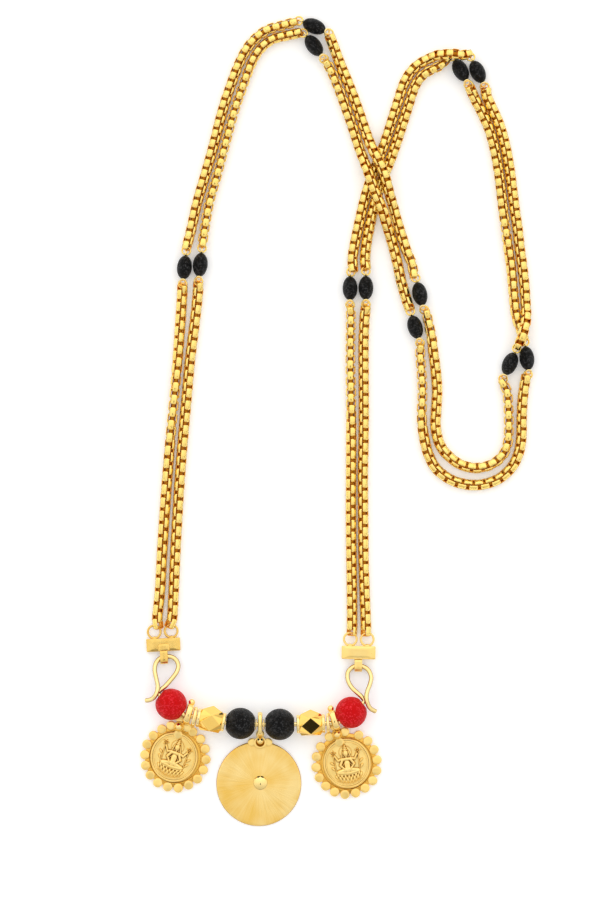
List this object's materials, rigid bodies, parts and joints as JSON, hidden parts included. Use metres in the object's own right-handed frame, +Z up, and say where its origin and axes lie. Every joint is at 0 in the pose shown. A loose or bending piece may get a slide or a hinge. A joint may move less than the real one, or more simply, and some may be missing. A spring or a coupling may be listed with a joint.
{
  "type": "thali necklace",
  "caption": "Lying gold-tone necklace: paired box chains with oval black beads, closed by a hooked wire of round and faceted beads that carries a plain thali disc between coin pendants.",
  "frame": {"origin": "centre of the thali disc's back face, on the surface the necklace lies on", "axes": "+Z up out of the surface, +Y from the disc along the chains, +X to the right from above"},
  "size_m": [0.1025, 0.2098, 0.0082],
  "materials": {
    "chain_gold": "polished gold plating",
    "polished_gold": "polished gold plating",
    "satin_gold": "satin gold plating",
    "black_bead": "frosted black, finely sanded",
    "red_bead": "frosted crimson, finely sanded"
  },
  "bodies": {
    "root": {"chain_a1": "chain_gold", "chain_a2": "chain_gold", "chain_a3": "chain_gold", "chain_a4": "chain_gold", "chain_a5": "chain_gold", "chain_a6": "chain_gold", "chain_a7": "chain_gold", "chain_b1": "chain_gold", "chain_b2": "chain_gold", "chain_b3": "chain_gold", "chain_b4": "chain_gold", "chain_b5": "chain_gold", "chain_b6": "chain_gold", "chain_b7": "chain_gold", "oval_bead_a1": "black_bead", "oval_bead_a2": "black_bead", "oval_bead_a3": "black_bead", "oval_bead_a4": "black_bead", "oval_bead_a5": "black_bead", "oval_bead_a6": "black_bead", "oval_bead_b1": "black_bead", "oval_bead_b2": "black_bead", "oval_bead_b3": "black_bead", "oval_bead_b4": "black_bead", "oval_bead_b5": "black_bead", "oval_bead_b6": "black_bead", "black_bead_left": "black_bead", "black_bead_right": "black_bead", "bead_pin_a1": "chain_gold", "bead_pin_a2": "chain_gold", "bead_pin_a3": "chain_gold", "bead_pin_a4": "chain_gold", "bead_pin_a5": "chain_gold", "bead_pin_a6": "chain_gold", "bead_pin_b1": "chain_gold", "bead_pin_b2": "chain_gold", "bead_pin_b3": "chain_gold", "bead_pin_b4": "chain_gold", "bead_pin_b5": "chain_gold", "bead_pin_b6": "chain_gold", "end_bar_left": "satin_gold", "end_bar_right": "satin_gold", "hook_wire": "polished_gold", "red_bead_left": "red_bead", "red_bead_right": "red_bead", "faceted_bead_left": "polished_gold", "faceted_bead_right": "polished_gold", "spacer_left": "polished_gold", "spacer_right": "polished_gold", "centre_spacer_left": "polished_gold", "centre_spacer_right": "polished_gold", "coin_left": "satin_gold", "coin_right": "satin_gold", "thali_disc": "satin_gold"}
  },
  "joints": []
}
